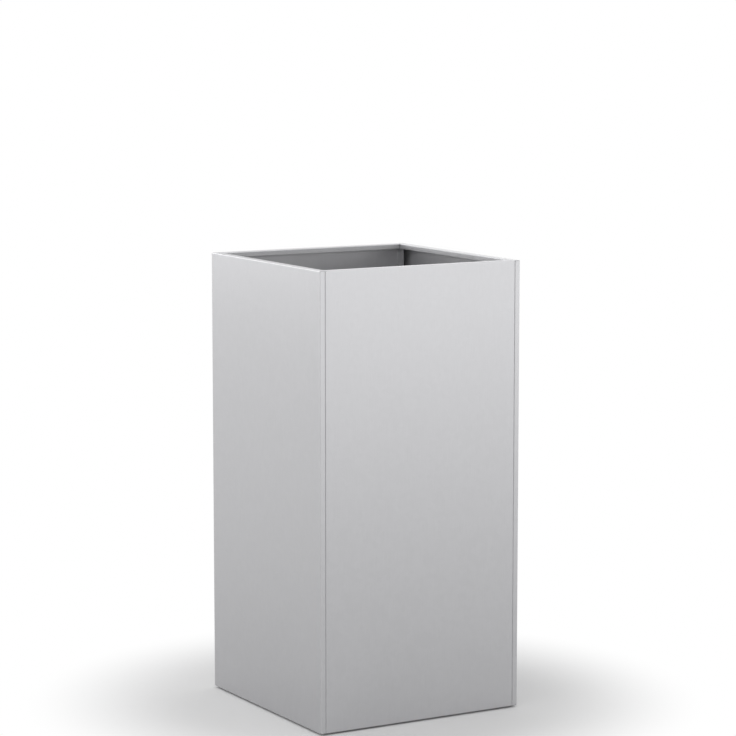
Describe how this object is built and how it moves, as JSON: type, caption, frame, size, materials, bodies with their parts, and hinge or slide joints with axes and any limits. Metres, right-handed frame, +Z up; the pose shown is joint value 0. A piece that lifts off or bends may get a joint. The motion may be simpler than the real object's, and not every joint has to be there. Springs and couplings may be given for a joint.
{
  "type": "metal planter",
  "caption": "Tall square floor planter of folded sheet steel, with side panels that wrap the corners, a mitred inward rim and a lift-out drained base.",
  "frame": {"origin": "on the floor, under the middle of the planter", "axes": "+Z up, -Y towards the front panel, -X towards the left panel"},
  "size_m": [0.4, 0.4, 0.8],
  "materials": {
    "wall_sheet": "satin",
    "base_sheet": "satin",
    "bolt_zinc": "semi-gloss",
    "washer_zinc": "satin",
    "nut_zinc": "satin",
    "foot_rubber": "matte"
  },
  "bodies": {
    "shell": {"front_panel": "wall_sheet", "back_panel": "wall_sheet", "left_panel": "wall_sheet", "right_panel": "wall_sheet", "bolts_front_left": "bolt_zinc", "bolts_front_right": "bolt_zinc", "bolts_back_left": "bolt_zinc", "bolts_back_right": "bolt_zinc", "washers_front_left": "washer_zinc", "washers_front_right": "washer_zinc", "washers_back_left": "washer_zinc", "washers_back_right": "washer_zinc", "clinch_nuts_front_left": "nut_zinc", "clinch_nuts_front_right": "nut_zinc", "clinch_nuts_back_left": "nut_zinc", "clinch_nuts_back_right": "nut_zinc", "foot_front_left": "foot_rubber", "foot_front_right": "foot_rubber", "foot_back_left": "foot_rubber", "foot_back_right": "foot_rubber"},
    "base": {"base_tray": "base_sheet", "base_rib_front": "base_sheet", "base_rib_back": "base_sheet"}
  },
  "joints": [
    {"name": "base_lift", "type": "slide", "parent": "shell", "child": "base", "axis": [0, 0, 1], "range_m": [0, 0.82]}
  ]
}
